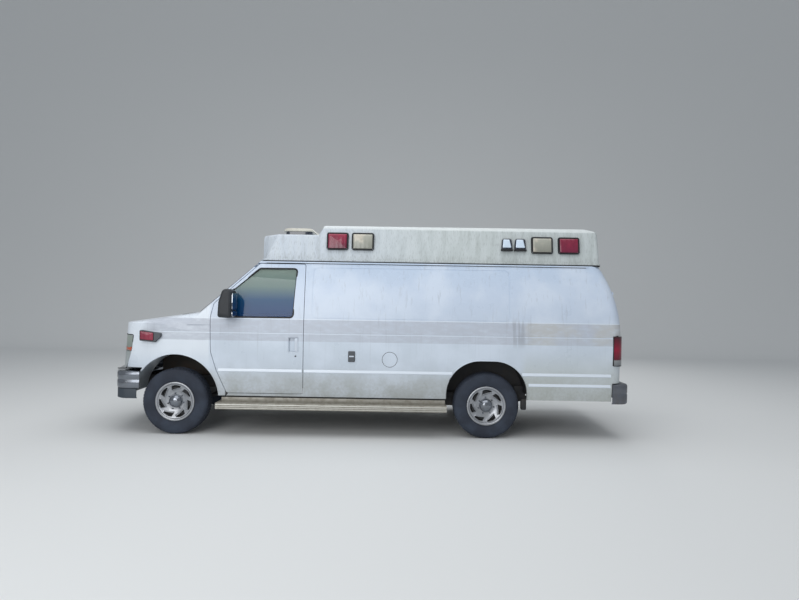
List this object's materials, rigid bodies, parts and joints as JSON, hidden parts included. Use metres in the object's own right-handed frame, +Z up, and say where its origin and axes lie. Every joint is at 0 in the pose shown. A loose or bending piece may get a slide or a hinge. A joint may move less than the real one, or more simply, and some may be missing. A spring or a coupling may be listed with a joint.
{
  "type": "raised-roof ambulance van",
  "caption": "Raised-roof ambulance on a full-size extended van, with opening doors, hood and fuel door, steering front wheels and rolling wheels.",
  "frame": {"origin": "on the ground under the middle of the bounding box", "axes": "+X towards the tail, +Y towards the vehicle's right-hand side, +Z up"},
  "size_m": [6.012, 2.4922, 2.44],
  "materials": {
    "white_paint": "weathered gloss white paint",
    "fibreglass": "chalky white fibreglass",
    "chrome": "chrome plate",
    "wheel_silver": "stainless wheel cover",
    "tyre": "black rubber",
    "glass": "tinted glass",
    "black_plastic": "grained black plastic",
    "red_lens": "red lens",
    "clear_lens": "clear lens",
    "blue_lens": "dark lens under a cream lid",
    "chassis_black": "black chassis paint with dirt",
    "cast_grey": "cast iron",
    "aluminium": "ribbed aluminium tread",
    "exhaust_steel": "aluminised steel",
    "seat_vinyl": "grey vinyl",
    "cab_plastic": "grey moulded plastic",
    "cabinet_laminate": "white laminate"
  },
  "bodies": {
    "vehicle": {"body_side_left": "white_paint", "body_side_right": "white_paint", "chassis_frame": "chassis_black", "clear_lamps": "clear_lens", "dashboard": "cab_plastic", "engine": "cast_grey", "exhaust": "exhaust_steel", "floor_pan": "chassis_black", "front_axle": "chassis_black", "front_bumper": "chrome", "front_fenders": "white_paint", "front_seats": "seat_vinyl", "front_valance": "black_plastic", "fuel_tank": "chassis_black", "grille": "chrome", "headlamps": "clear_lens", "light_bar": "blue_lens", "patient_fittings": "cabinet_laminate", "raised_roof": "fibreglass", "rear_axle": "chassis_black", "rear_bumper": "chrome", "rear_frame": "white_paint", "red_lamps": "red_lens", "running_boards": "aluminium", "steering_wheel": "cab_plastic", "tail_lamps": "red_lens", "windshield": "glass", "windshield_frame": "white_paint"},
    "door_front_left": {"door_front_left": "white_paint", "glass_front_left": "glass", "mirror_left": "black_plastic"},
    "door_front_right": {"door_front_right": "white_paint", "glass_front_right": "glass", "mirror_right": "black_plastic"},
    "cargo_door_front": {"cargo_door_front": "white_paint", "cargo_glass_front": "glass"},
    "cargo_door_rear": {"cargo_door_rear": "white_paint", "cargo_glass_rear": "glass"},
    "rear_door_left": {"rear_door_left": "white_paint", "rear_glass_left": "glass"},
    "rear_door_right": {"rear_door_right": "white_paint", "rear_glass_right": "glass"},
    "hood": {"hood": "white_paint"},
    "fuel_door": {"fuel_door": "white_paint"},
    "knuckle_left": {"knuckle_left": "chassis_black"},
    "knuckle_right": {"knuckle_right": "chassis_black"},
    "wheel_front_left": {"wheel_front_left": "wheel_silver", "tyre_front_left": "tyre"},
    "wheel_front_right": {"wheel_front_right": "wheel_silver", "tyre_front_right": "tyre"},
    "wheel_rear_left": {"wheel_rear_left": "wheel_silver", "tyre_rear_left": "tyre"},
    "wheel_rear_right": {"wheel_rear_right": "wheel_silver", "tyre_rear_right": "tyre"}
  },
  "joints": [
    {"name": "front_left_door", "type": "hinge", "parent": "vehicle", "child": "door_front_left", "pos_m": [-1.724, -1.025, 0.96], "axis": [0, -0.0649, -0.9979], "range_deg": [0, 68]},
    {"name": "front_right_door", "type": "hinge", "parent": "vehicle", "child": "door_front_right", "pos_m": [-1.724, 1.025, 0.96], "axis": [0, -0.0649, 0.9979], "range_deg": [0, 68]},
    {"name": "cargo_front_door", "type": "hinge", "parent": "vehicle", "child": "cargo_door_front", "pos_m": [-0.6, 1.025, 0.96], "axis": [0, -0.0649, 0.9979], "range_deg": [0, 100]},
    {"name": "cargo_rear_door", "type": "hinge", "parent": "vehicle", "child": "cargo_door_rear", "pos_m": [0.56, 1.025, 0.96], "axis": [0, 0.0649, -0.9979], "range_deg": [0, 160]},
    {"name": "rear_left_door", "type": "hinge", "parent": "vehicle", "child": "rear_door_left", "pos_m": [2.94, -0.8, 1.017], "axis": [0.0995, 0, -0.995], "range_deg": [0, 170]},
    {"name": "rear_right_door", "type": "hinge", "parent": "vehicle", "child": "rear_door_right", "pos_m": [2.94, 0.8, 1.017], "axis": [-0.0995, 0, 0.995], "range_deg": [0, 170]},
    {"name": "hood_hinge", "type": "hinge", "parent": "vehicle", "child": "hood", "pos_m": [-2.201, 0, 1.348], "axis": [0, 1, 0], "range_deg": [0, 50]},
    {"name": "fuel_door_hinge", "type": "hinge", "parent": "vehicle", "child": "fuel_door", "pos_m": [0.212, -1.0078, 0.88], "axis": [0, 0, -1], "range_deg": [0, 95]},
    {"name": "steering_left", "type": "hinge", "parent": "vehicle", "child": "knuckle_left", "pos_m": [-2.114, -0.8115, 0.37], "axis": [0, 0, 1], "range_deg": [-30, 30]},
    {"name": "steering_right", "type": "hinge", "parent": "vehicle", "child": "knuckle_right", "pos_m": [-2.114, 0.8115, 0.37], "axis": [0, 0, 1], "range_deg": [-30, 30]},
    {"name": "roll_front_left", "type": "hinge", "parent": "knuckle_left", "child": "wheel_front_left", "pos_m": [-2.114, -0.8815, 0.37], "axis": [0, 1, 0], "continuous": true},
    {"name": "roll_front_right", "type": "hinge", "parent": "knuckle_right", "child": "wheel_front_right", "pos_m": [-2.114, 0.8815, 0.37], "axis": [0, 1, 0], "continuous": true},
    {"name": "roll_rear_left", "type": "hinge", "parent": "vehicle", "child": "wheel_rear_left", "pos_m": [1.391, -0.8535, 0.37], "axis": [0, 1, 0], "continuous": true},
    {"name": "roll_rear_right", "type": "hinge", "parent": "vehicle", "child": "wheel_rear_right", "pos_m": [1.391, 0.8535, 0.37], "axis": [0, 1, 0], "continuous": true}
  ],
  "couplings": [
    {"joint": "steering_right", "follows": "steering_left", "ratio": 1}
  ]
}
